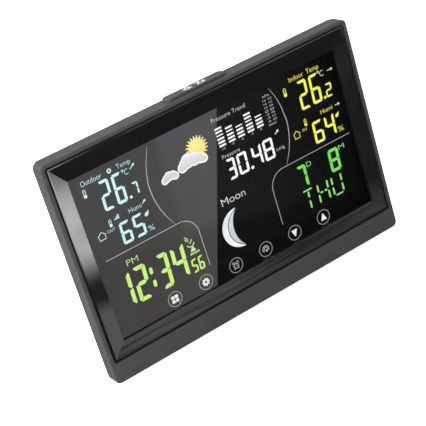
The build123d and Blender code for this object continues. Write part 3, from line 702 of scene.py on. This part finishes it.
# ---------------------------------------------------------------- readouts
def outdoor_readout():
    ink = Ink("readout_outdoor", lit("glow_outdoor", (200, 242, 242), mottle=0.08, strength=1.05))
    ink.at(-0.14, -0.12)
    ink.text("Outdoor", -82.6, -69.9, 47.0, 3.0)
    ink.text("Temp", -60.4, -51.9, 47.3, 2.7)
    ink.poly(*ring(-65.0, 48.5, 1.35, 16, 0.62, 10))
    ink.at(0.0, 0.0)
    thermometer(ink, -83.3, -80.9, 45.2, 40.3)
    digit(ink, "2", -74.3, -67.3, 45.5, 28.4, 1.62)
    digit(ink, "6", -66.1, -59.2, 45.5, 28.4, 1.62)
    ink.poly(disc(-57.8, 29.4, 0.85, 16))
    digit(ink, "7", -55.9, -51.9, 36.5, 28.9, 1.02)
    degree_mark(ink, -58.0, 45.0)
    ink.text("C", -57.2, -54.9, 42.0, 3.3)
    trend_arrow(ink, -53.5, -50.1, 46.2, 43.7)
    thermometer(ink, -75.0, -72.8, 23.5, 19.1)
    signal_bars(ink, -71.2, -68.1, 24.4, 21.8)
    ink.text("Humi", -61.8, -53.8, 21.4, 2.7)
    trend_arrow(ink, -53.0, -50.4, 24.8, 22.7)
    ink.at(0.21, 0.0)
    house(ink, -83.5, -78.4, 19.2, 14.6)
    ink.text("OUT", -77.3, -72.4, 16.7, 1.6)
    ink.at(0.17, -0.12)
    digit(ink, "6", -70.5, -63.5, 19.1, 6.4, 1.52)
    digit(ink, "5", -62.3, -55.2, 19.1, 6.4, 1.52)
    droplet(ink, -54.1, -51.0, 18.5, 15.4)
    ink.text("%", -54.4, -50.6, 6.6, 3.2)
    ink.done()


def indoor_readout():
    ink = Ink("readout_indoor", lit("glow_indoor", (252, 250, 92), mottle=0.08, strength=1.05))
    ink.at(0.09, 0.26)
    ink.text("Indoor", 54.4, 64.5, 46.9, 2.9)
    ink.text("Temp", 66.6, 75.4, 46.9, 2.9)
    ink.at(0.05, 0.15)
    thermometer(ink, 48.7, 51.3, 45.4, 40.3)
    digit(ink, "2", 57.8, 65.0, 45.4, 28.2, 1.6)
    digit(ink, "6", 66.2, 73.5, 45.4, 28.2, 1.6)
    ink.poly(disc(74.8, 29.2, 0.9, 16))
    digit(ink, "2", 76.0, 80.7, 36.5, 28.4, 1.0)
    thermometer(ink, 56.6, 58.8, 23.2, 18.8)
    ink.text("Humi", 69.2, 77.6, 20.9, 2.6)
    ink.at(0.12, 0.32)
    house(ink, 47.8, 52.5, 18.8, 14.1)
    ink.text("IN", 54.5, 57.3, 16.35, 1.6)
    ink.at(0.06, 0.04)
    digit(ink, "6", 60.9, 68.3, 19.0, 5.7, 1.56)
    digit(ink, "4", 69.5, 76.9, 19.0, 5.7, 1.56)
    droplet(ink, 77.9, 81.0, 17.9, 15.0)
    ink.text("%", 77.6, 81.6, 6.0, 3.2)
    ink.done()

    marks = Ink("readout_indoor_marks", lit("glow_pale_yellow", (235, 238, 190)))
    marks.at(0.05, 0.15)
    degree_mark(marks, 74.1, 45.0)
    marks.text("C", 75.0, 77.5, 41.8, 3.4)
    trend_arrow(marks, 80.6, 84.3, 43.9, 42.9)
    trend_arrow(marks, 79.7, 83.1, 22.6, 21.6)
    marks.done()


# pressure chart: heights of the rows of dashes; left edge and filled rows of each column
CHART_ROWS = (31.7, 33.7, 35.7, 37.8, 39.8, 41.8)
CHART_COLUMNS = ((0.8, 6), (7.3, 5), (13.7, 4), (20.3, 6), (26.8, 4))
ZERO_ROW = 3
DASH_WIDTH = 4.45
# labels below the chart: left edge, words, width
HOUR_LABELS = ((1.6, "-12", 2.6), (8.6, "-9", 1.7), (15.0, "-6", 1.7), (21.6, "-3", 1.7),
               (28.5, "0", 0.9))
# labels to the right of the chart: height of their middle, hPa, inHg
SCALE_LABELS = ((44.1, "+6", "+0.18"), (42.0, "+4", "+0.12"), (39.9, "+2", "+0.06"),
                (37.8, "0", "0"), (35.9, "-2", "-0.06"), (33.8, "-4", "-0.12"),
                (31.7, "-6", "-0.18"))


def pressure_readout():
    ink = Ink("readout_pressure", lit("glow_white", (253, 253, 254), mottle=0.04, strength=1.08))
    ink.at(0.28, 0.07)
    digit(ink, "3", 1.1, 7.3, 23.0, 10.7, 1.5)
    digit(ink, "0", 8.3, 15.4, 23.0, 10.7, 1.5)
    ink.poly(disc(17.0, 11.6, 0.95, 16))
    digit(ink, "4", 18.4, 25.35, 23.0, 10.7, 1.5)
    digit(ink, "8", 26.3, 33.6, 23.0, 10.7, 1.5)
    ink.at(0.26, 0.15)
    for x, filled in CHART_COLUMNS:
        for row in range(filled):
            z = CHART_ROWS[row]
            half = 0.34 if row == ZERO_ROW else 0.54
            ink.poly(rounded_rect(x, x + DASH_WIDTH, z - half, z + half, r=0.25, n=2))
    trend_arrow(ink, 36.4, 39.4, 25.0, 22.9)
    ink.done()

    labels = Ink("pressure_labels", lit("glow_soft_white", (214, 214, 214), mottle=0.08))
    labels.at(0.14, 0.18)
    labels.text("Pressure Trend", 0.5, 23.2, 45.9, 2.5)
    labels.at(0.39, 0.04)
    labels.text("Pressure", 0.3, 12.2, 24.2, 2.3)
    labels.at(0.19, 0.14)
    for x, words, width in HOUR_LABELS:
        labels.text(words, x, x + width, 29.2, 1.15)
    for z, hpa, inhg in SCALE_LABELS:
        labels.text(hpa, 34.3, 36.5, z - 0.6, 1.25)
        labels.text(inhg, 37.9, 40.4, z - 0.6, 1.2)
    labels.text("hPa", 35.2, 39.6, 45.8, 1.35)
    labels.text("Hour", 34.6, 39.9, 29.0, 1.35)
    labels.text("inHg", 34.8, 40.3, 13.3, 1.9)
    labels.done()


def clock_readout():
    ink = Ink("readout_clock", lit("glow_clock", (196, 243, 122)))
    ink.at(0.38, -0.15)
    digit(ink, "1", -80.0, -73.75, -7.9, -28.4, 2.35, gap=0.22, slant=0.03)
    digit(ink, "2", -72.65, -63.5, -7.9, -28.6, 2.38, gap=0.13, slant=0.045)
    for dot_z in (-14.5, -22.3):
        dot = rounded_rect(-62.1, -60.1, dot_z - 2.05, dot_z + 2.05, r=0.9)
        ink.poly([(x + 0.04 * (z - dot_z), z) for x, z in dot])
    ink.at(0.61, -0.28)
    digit(ink, "3", -57.6, -49.4, -7.9, -28.6, 2.38, gap=0.13, slant=0.045)
    digit(ink, "4", -48.2, -38.7, -8.0, -28.5, 2.38, gap=0.13, slant=0.045)
    ink.at(0.61, 0.0)
    digit(ink, "5", -37.4, -33.5, -20.7, -28.85, 1.05, gap=0.06)
    digit(ink, "6", -33.0, -29.2, -20.7, -28.85, 1.05, gap=0.06)
    ink.done()

    marks = Ink("clock_marks", lit("glow_mast", (190, 238, 150)))
    marks.at(0.39, -0.24)
    marks.text("PM", -73.1, -65.9, -5.4, 3.5)
    # dish on a foot, with two waves and a row of five blocks below
    marks.at(0.70, 0.0)
    marks.poly(arc_band(-34.2, -11.0, 2.1, 2.7, 200, 345, 12))
    marks.poly(stroke([(-34.6, -11.6), (-32.6, -9.4)], 0.5))
    marks.poly([(-33.9, -13.6), (-33.0, -13.9), (-31.9, -16.4), (-35.6, -16.4)])
    for radius in (0.9, 2.0):
        marks.poly(arc_band(-37.3, -9.0, radius, radius + 0.45, -30, 80, 8))
    for k in range(5):
        marks.poly(rect(-36.1 + k * 1.25, -35.2 + k * 1.25, -18.2, -17.1))
    marks.done()


def date_readout():
    ink = Ink("readout_date", lit("glow_date", (122, 238, 82)))
    ink.at(0.0, -0.10)
    digit(ink, "7", 43.3, 50.0, -1.1, -15.1, 1.85, gap=0.12, slant=0.02)
    ink.at(0.19, 0.0)
    digit(ink, "8", 65.9, 73.7, -1.1, -15.1, 1.85, gap=0.12, slant=0.03)
    ink.done()

    day = Ink("readout_weekday", lit("glow_weekday", (152, 238, 114)))
    day.at(0.06, 0.22)
    # T
    pointed_bar(day, 43.8, -17.3, 50.3, -17.3, w=0.9)
    pointed_bar(day, 47.2, -18.3, 47.1, -22.2)
    pointed_bar(day, 47.0, -23.8, 46.9, -28.9)
    # H
    for x in (53.9, 60.9):
        pointed_bar(day, x + 0.1, -17.4, x, -22.3)
        pointed_bar(day, x - 0.1, -23.6, x - 0.2, -28.8)
    pointed_bar(day, 54.8, -22.9, 57.1, -22.9)
    pointed_bar(day, 58.0, -22.9, 60.2, -22.9)
    # U
    for x in (64.2, 71.0):
        pointed_bar(day, x + 0.1, -17.6, x, -22.3)
        pointed_bar(day, x - 0.1, -23.6, x - 0.1, -28.6)
    pointed_bar(day, 64.9, -29.3, 70.3, -29.3, w=0.9)
    day.text("D", 50.9, 54.1, -4.4, 3.1)
    day.text("M", 74.6, 78.5, -4.4, 3.1)
    day.done()


def moon_sign():
    word = Ink("moon_word", lit("glow_moon_word", (232, 232, 230)))
    word.at(0.42, 0.35)
    word.text("Moon", -8.4, 7.65, -1.5, 4.4)
    word.done()

    fade = {"low": CENTRE_Z - 30, "high": CENTRE_Z - 5}
    light = lit("glow_moon_light", (253, 254, 254), (240, 247, 250), **fade)
    shade = lit("glow_moon_shade", (198, 210, 214), (222, 232, 236), **fade)
    # edges as x of the tips, top, base, x at mid height
    for name, mat, left_edge, right_edge in (
            ("moon_light_side", light, (-1.3, -5.1, -29.0, -13.2), (-1.75, -5.75, -28.35, -9.45)),
            ("moon_shade_side", shade, (-1.5, -6.1, -28.0, -8.95), (-1.35, -5.7, -28.4, -5.7))):
        ink = Ink(name, mat)
        ink.at(0.46, 0.16)
        ink.poly(crescent_edge(*left_edge) + crescent_edge(*right_edge)[::-1])
        ink.done()


# clouds: centre, flat floor, circles as (x, z, radius)
CLOUDS = (
    ((-17.5, 30.6), 27.9, ((-24.0, 30.9, 3.05), (-22.2, 32.1, 3.5), (-20.0, 33.2, 4.25),
                           (-15.8, 32.5, 3.8), (-12.4, 31.7, 3.2), (-10.0, 30.4, 2.55))),
    ((-33.2, 28.7), 26.5, ((-36.3, 28.6, 2.2), (-35.0, 29.4, 2.5), (-33.4, 30.1, 2.85),
                           (-30.8, 29.8, 2.6), (-29.4, 28.9, 2.3))),
)
CLOUD_RIM = 0.85


def weather_sign():
    """Sun behind two clouds."""
    sun = Ink("sign_sun", lit("glow_sun", (253, 216, 84), (255, 246, 160), low=CENTRE_Z + 30,
                              high=CENTRE_Z + 43, mottle=0.05), INK_Y + 0.04)
    sun.at(-0.23, -0.43)
    sun.poly(toothed(-12.1, 37.9, 20, root=(5.0, 0.13), tip=(7.0, 0.035)))
    sun.done()

    rim_mat = lit("glow_cloud_rim", (250, 250, 252), mottle=0.03)
    fill_mat = lit("glow_cloud_fill", (205, 206, 208), (240, 241, 242), low=CENTRE_Z + 28,
                   high=CENTRE_Z + 36.5, mottle=0.05)
    for name, mat, forward, shrink in (("sign_cloud_rims", rim_mat, 0.06, 0.0),
                                       ("sign_cloud_fills", fill_mat, 0.14, CLOUD_RIM)):
        ink = Ink(name, mat, INK_Y - forward)
        ink.at(0.0, -0.12)
        for centre, floor, circles in CLOUDS:
            ink.poly(cloud(centre, circles, floor, shrink))
        ink.done()


def mask_edge():
    """Black print that carries the mask down to the display's lower edge."""
    ink = Ink("mask_edge", mask_black, LENS_BACK_Y - 0.035, PRINT_THICK)
    ink.poly(rect(-90.9, 86.9, -32.1, -30.15))
    ink.done()


# bowed lines left and right of the pressure block, from top to bottom
LEFT_BOW = ((-40.4, 50.8), (-44.2, 41.4), (-45.9, 34.4), (-46.4, 29.5), (-45.9, 22.1),
            (-44.2, 15.1), (-41.8, 9.2), (-38.7, 3.4))
RIGHT_BOW = ((40.4, 49.8), (43.4, 42.9), (45.1, 36.5), (45.7, 31.8), (46.2, 26.7),
             (45.4, 20.0), (43.75, 13.6), (41.4, 8.2), (38.6, 3.2))


def separators():
    def taper(t):
        return 0.14 + 0.36 * math.sin(math.pi * min(1.0, t * 1.02)) ** 0.8

    quarter = [math.pi / 2 * i / 14 for i in range(15)]
    left_bend = [(-36.8 + 10.2 * math.sin(t), -7.2 + 10.2 * math.cos(t)) for t in quarter]
    right_bend = [(35.4 - 10.1 * math.cos(t), -7.4 + 10.1 * math.sin(t)) for t in quarter]
    ink = Ink("separator_lines", lit("glow_lines", (180, 180, 182), mottle=0.12))
    ink.at(0.16, 0.11)
    ink.poly(stroke(smooth_path(LEFT_BOW), taper))
    ink.at(0.10, 0.15)
    ink.poly(stroke(smooth_path(RIGHT_BOW), taper))
    ink.at(0.53, -0.18)
    ink.poly(stroke([(-84.0, 3.0), (-37.0, 3.0), *left_bend, (-26.5, -28.6)], 0.37))
    ink.at(0.12, 0.0)
    ink.poly(stroke([(25.3, -28.8), *right_bend, (84.2, 2.65)], 0.37))
    ink.done()


# ---------------------------------------------------------------- touch keys
KEY_PITCH = 21.0
KEY_XS = [KEY_PITCH * (i - 2.5) for i in range(6)]
KEY_Z = -37.2
KEY_SHIFTS = ((0.0, 0.19), (-0.08, 0.12), (-0.14, 0.07), (-0.15, -0.17), (-0.07, 0.0),
              (0.0, -0.15))


def key_ink(name, mat):
    return Ink(name, mat, KEY_Y, PRINT_THICK)


def go_to_key(ink, index):
    """Take the key's shift and give its middle."""
    ink.at(*KEY_SHIFTS[index])
    return KEY_XS[index], KEY_Z


def key_rings():
    ink = key_ink("key_rings", lit("key_ring_ink", (162, 162, 162), mottle=0.12, strength=0.95))
    for index in range(6):
        x, z = go_to_key(ink, index)
        ink.poly(*ring(x, z, 4.55, 48, 4.15, 48))
    ink.done()


def key_signs():
    ink = key_ink("key_signs", lit("key_sign_ink", (236, 236, 236), mottle=0.06))
    # four rounded squares
    x, z = go_to_key(ink, 0)
    pitch, half = 1.22, 1.05
    for sx in (-1, 1):
        for sz in (-1, 1):
            cx, cz = x + sx * pitch, z + sz * pitch
            ink.poly(rounded_rect(cx - half, cx + half, cz - half, cz + half, r=0.62))
    # gear
    x, z = go_to_key(ink, 1)
    ink.poly(toothed(x, z, 8, root=(1.75, 0.30), tip=(2.5, 0.19)), disc(x, z, 0.72, 16))
    # wedges that point down and up
    for index, wide, narrow in ((4, 1.85, -2.35), (5, -1.95, 2.3)):
        x, z = go_to_key(ink, index)
        ink.poly([(x - 2.05, z + wide), (x + 2.05, z + wide),
                  (x + 0.25, z + narrow), (x - 0.25, z + narrow)])
    # dot below the two arcs
    x, z = go_to_key(ink, 3)
    ink.poly(disc(x + 0.25, z - 1.05, 0.55, 12))
    ink.done()


def key_signs_grey():
    ink = key_ink("key_signs_grey", lit("key_grey_ink", (170, 170, 170)))
    # alarm clock
    x, z = go_to_key(ink, 2)
    ink.poly(*ring(x, z - 0.25, 1.85, 28, 1.25, 24))
    ink.poly(stroke([(x, z + 0.75), (x, z - 0.35), (x + 0.7, z - 0.35)], 0.36))
    for side in (-1, 1):
        ink.poly(stroke([(x + side * 0.75, z + 2.25), (x + side * 1.65, z + 2.05),
                         (x + side * 2.1, z + 1.25)], 0.55))
        ink.poly(stroke([(x + side * 1.1, z - 1.8), (x + side * 1.65, z - 2.35)], 0.42))
    # two arcs
    x, z = go_to_key(ink, 3)
    ink.poly(arc_band(x, z, 1.75, 2.3, -40, 220, 26))
    ink.poly(arc_band(x, z, 0.85, 1.35, -30, 210, 20))
    ink.done()


# ---------------------------------------------------------------- snooze bar
def letter_z(x0, y0, w, h, t):
    return [(x0, y0 + h), (x0 + w, y0 + h), (x0 + w, y0 + h - t), (x0 + t * 1.5, y0 + t),
            (x0 + w, y0 + t), (x0 + w, y0), (x0, y0), (x0, y0 + t),
            (x0 + w - t * 1.5, y0 + h - t), (x0, y0 + h - t)]


def snooze_signs():
    """Lamp and sleep signs on the bar's top face, drawn as (x, y)."""
    mat = surface("white_print", (0.72, 0.72, 0.72), rough=0.5, var=0.06, grain=0.01,
                  grain_scale=3000)
    top = bar_hi[2] / MM
    above, below = 0.03, 0.02
    mid_y = (bar_lo[1] + bar_hi[1]) / 2 / MM
    lamp_x, ray_start, ray_end, ray_half = -4.4, 2.1, 3.1, 0.24
    shapes = [ring(lamp_x, mid_y, 1.65, 24, 1.1, 20)]
    for k in range(8):
        a = 2 * math.pi * k / 8
        c, s = math.cos(a), math.sin(a)
        shapes.append([[(lamp_x + r * c - side * s, mid_y + r * s + side * c)
                        for r, side in ((ray_start, ray_half), (ray_end, ray_half),
                                        (ray_end, -ray_half), (ray_start, -ray_half))]])
    shapes.append([letter_z(1.6, mid_y - 1.7, w=2.9, h=3.5, t=0.55)])
    shapes.append([letter_z(5.0, mid_y - 1.7, w=2.2, h=2.6, t=0.48)])

    verts, faces = [], []
    for loops in shapes:
        faces += prism_faces(loops, len(verts))
        for z in (top + above, top - below):
            verts += [(x * MM, y * MM, z * MM) for loop in loops for x, y in loop]
    print_object("snooze_signs", mat, verts, faces, "snooze_bar")


# ---------------------------------------------------------------- stage
def build_floor():
    half = 6.0
    mesh = bpy.data.meshes.new("floor")
    corners = [(-half, -half, 0), (half, -half, 0), (half, half, 0), (-half, half, 0)]
    mesh.from_pydata(corners, [], [(0, 1, 2, 3)])
    floor = bpy.data.objects.new("floor", mesh)
    bpy.context.scene.collection.objects.link(floor)
    mat, g = new_material("floor_pale")
    color = g.ramp(g.noise(g.coords("Object"), 3.0), (0.90, 0.90, 0.90), (0.93, 0.93, 0.93))
    matt = g.add("BsdfDiffuse", {"Color": color})
    glow = g.add("Emission", {"Color": (1, 1, 1, 1), "Strength": 0.62})
    glowing = g.add("AddShader", {0: matt.outputs[0], 1: glow.outputs[0]})
    # only the eye sees the glow, so that it doesn't light the object
    mix = g.add("MixShader", {"Fac": g.add("LightPath").outputs["Is Camera Ray"],
                              1: matt.outputs[0], 2: glowing.outputs[0]})
    g.add("OutputMaterial", {"Surface": mix.outputs[0]})
    mesh.materials.append(mat)
    floor.visible_glossy = False


# square area lights: name, place, target, size (m), power (W)
LIGHTS = (
    ("key_left", (-0.85, 0.02, 0.36), (-0.05, 0, 0.07), 0.5, 17.8),
    ("top_soft", (-0.05, 0.10, 0.95), (0, 0, 0.06), 0.9, 8.0),
    ("front_fill", (-0.54, -0.50, 0.32), (-0.07, 0, 0.06), 0.45, 4.3),
    ("back_fill", (0.5, 0.95, 0.5), (0, 0, 0.06), 0.8, 9.0),
    ("right_fill", (1.0, 0.1, 0.4), (0, 0, 0.06), 0.7, 3.5),
)


def build_lights():
    for name, place, target, size, power in LIGHTS:
        light = bpy.data.lights.new(name, "AREA")
        light.energy = power
        light.size = size
        obj = bpy.data.objects.new(name, light)
        bpy.context.scene.collection.objects.link(obj)
        obj.location = place
        obj.rotation_mode = "QUATERNION"
        obj.rotation_quaternion = (Vector(target) - Vector(place)).to_track_quat("-Z", "Y")
        obj.visible_glossy = False


def painted_studio(g):
    """Brightness that mirrors see in each direction; edges are (value, zero at, one at)."""
    direction = g.coords("Generated")
    azimuth, x, height = g.directions(direction)

    def streaks(scale, stretch):
        return g.noise(g.stretched(direction, stretch), scale, detail=2.0, rough=0.5)

    # box seen in the trim's left slope: soft wavy streaks, fading downwards
    box = g.times(
        g.steps((azimuth, 29.7, 30.2), (azimuth, 32.5, 31.3), (height, -0.412, -0.390),
                (height, -0.30, -0.325)),
        g.plus(0.35, g.times(streaks(scale=14.0, stretch=(2.0, 2.0, 5.0)), 1.30)),
        g.plus(0.30, g.times(g.step(height, -0.337, -0.356), 0.70)))
    # low streaked glow seen in the bottom slope, above a tilted edge
    low_edge = g.plus(height, 0.298, g.times(g.plus(azimuth, -18.0), -0.00214))
    low = g.times(
        g.steps((low_edge, -0.006, -0.002), (height, -0.10, -0.18), (azimuth, 8.0, 14.0),
                (azimuth, 46.0, 38.0)),
        g.plus(0.62, g.times(streaks(scale=1.6, stretch=(6.0, 6.0, 190.0)), 0.75)),
        g.plus(0.55, g.times(g.step(azimuth, 29.0, 22.0), 0.45)))
    # small patch seen at the lower end of the right slope
    patch = g.steps((height, -0.404, -0.412), (height, -0.46, -0.44), (azimuth, 20.8, 21.4),
                    (azimuth, 23.0, 22.6))
    # thin lines on the crown of the trim, left and top; the top one is dimmed over a gap
    left_line = g.steps((azimuth, 18.0, 18.6), (azimuth, 20.3, 19.8), (height, -0.410, -0.380),
                        (height, -0.326, -0.338))
    line_edge = g.plus(height, 0.328, g.times(g.plus(azimuth, -19.3), -0.00229))
    gap = g.times(g.steps((azimuth, 21.0, 21.5), (azimuth, 23.1, 22.5)), -0.9)
    top_line = g.times(
        g.steps((line_edge, -0.007, -0.004), (line_edge, 0.007, 0.004), (azimuth, 19.0, 20.0),
                (azimuth, 36.0, 33.5)),
        g.plus(1.0, gap))
    # sky, brighter to the left
    sky = g.times(g.step(height, 0.02, 0.55), g.plus(0.55, g.times(g.step(x, 0.3, -0.7), 0.6)))
    everywhere = 0.030
    weights = ((box, 8.7), (left_line, 8.0), (top_line, 1.3), (low, 1.0), (patch, 0.5))
    return g.plus(everywhere, *[g.times(part, weight) for part, weight in weights], sky)


def build_world():
    """White to the eye, soft to matt surfaces, a painted studio to mirrors."""
    world = bpy.data.worlds.new("studio")
    bpy.context.scene.world = world
    world.use_nodes = True
    world.node_tree.nodes.clear()
    g = Graph(world.node_tree)

    def background(strength, color=(1, 1, 1, 1)):
        return g.add("Background", {"Color": color, "Strength": strength}).outputs[0]

    mirrored = background(painted_studio(g), color=(1.0, 0.985, 0.99, 1))
    ray = g.add("LightPath").outputs
    unseen = g.add("MixShader", {"Fac": ray["Is Glossy Ray"],
                                 1: background(strength=0.35), 2: mirrored})
    seen = g.add("MixShader", {"Fac": ray["Is Camera Ray"],
                               1: unseen.outputs[0], 2: background(strength=1.0)})
    g.add("OutputWorld", {"Surface": seen.outputs[0]})


def build_camera():
    scene = bpy.context.scene
    data = bpy.data.cameras.new("camera")
    data.sensor_width = 36.0
    data.lens = 115.75
    data.clip_start = 0.01
    data.clip_end = 20.0
    camera = bpy.data.objects.new("camera", data)
    scene.collection.objects.link(camera)
    turn = Matrix(EYE_AXES).transposed()
    camera.matrix_world = Matrix.Translation(EYE * MM) @ turn.to_4x4()
    scene.camera = camera
    scene.view_settings.view_transform = "Standard"
    scene.view_settings.look = "None"
    scene.view_settings.exposure = 0.0


dress_parts()
outdoor_readout()
indoor_readout()
pressure_readout()
clock_readout()
date_readout()
moon_sign()
weather_sign()
mask_edge()
separators()
key_rings()
key_signs()
key_signs_grey()
snooze_signs()
build_floor()
build_lights()
build_world()
build_camera()
